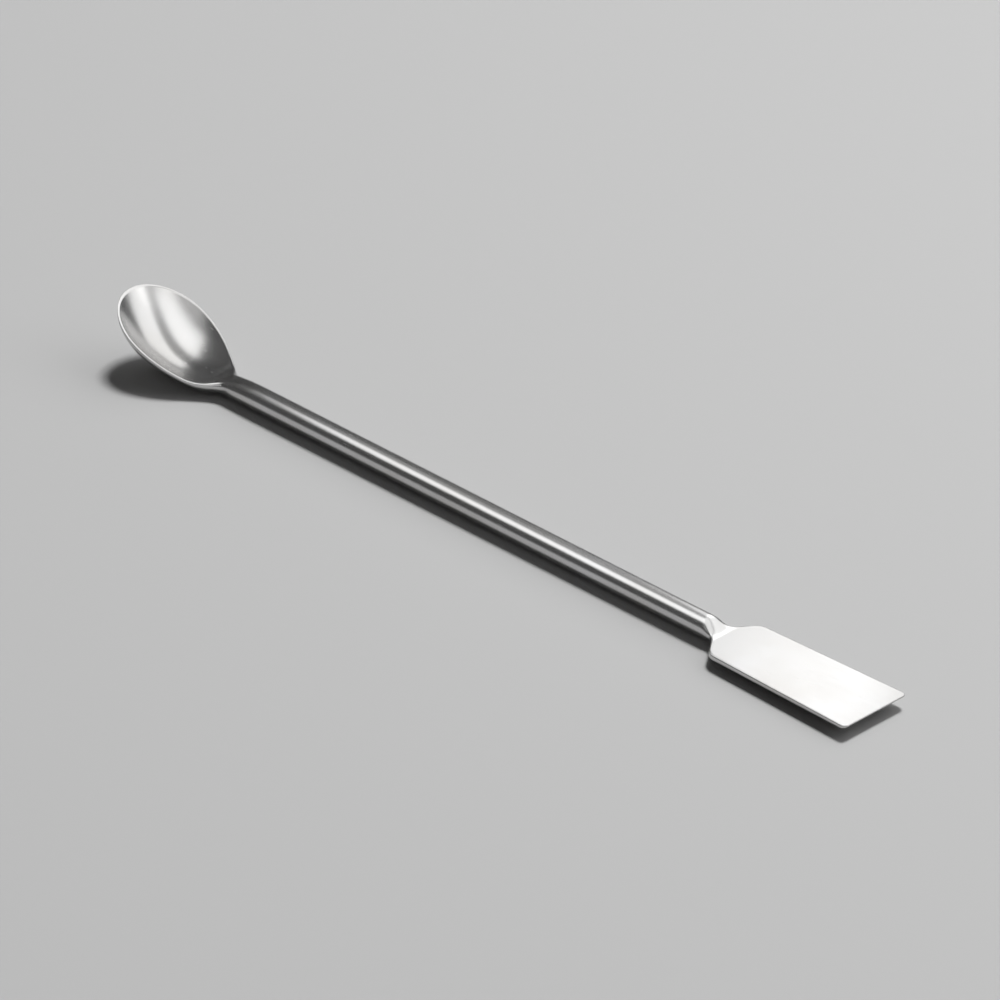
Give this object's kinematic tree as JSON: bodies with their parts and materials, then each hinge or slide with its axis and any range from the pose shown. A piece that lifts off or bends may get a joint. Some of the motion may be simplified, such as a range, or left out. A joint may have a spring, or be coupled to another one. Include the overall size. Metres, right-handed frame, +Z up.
{
  "type": "lab spatula",
  "caption": "One-piece polished steel lab spatula: a round rod with an upturned egg-shaped spoon bowl at one end and a flat flared blade at the other, for scooping and spreading powders.",
  "frame": {"origin": "middle of the overall length and width, on the surface that the spatula lies on", "axes": "+X along the rod from the bowl to the blade, +Y across, +Z up, out of the bowl's open side"},
  "size_m": [0.2, 0.0188, 0.0128],
  "materials": {
    "steel": "polished stainless steel"
  },
  "bodies": {
    "root": {"spatula": "steel"}
  },
  "joints": []
}
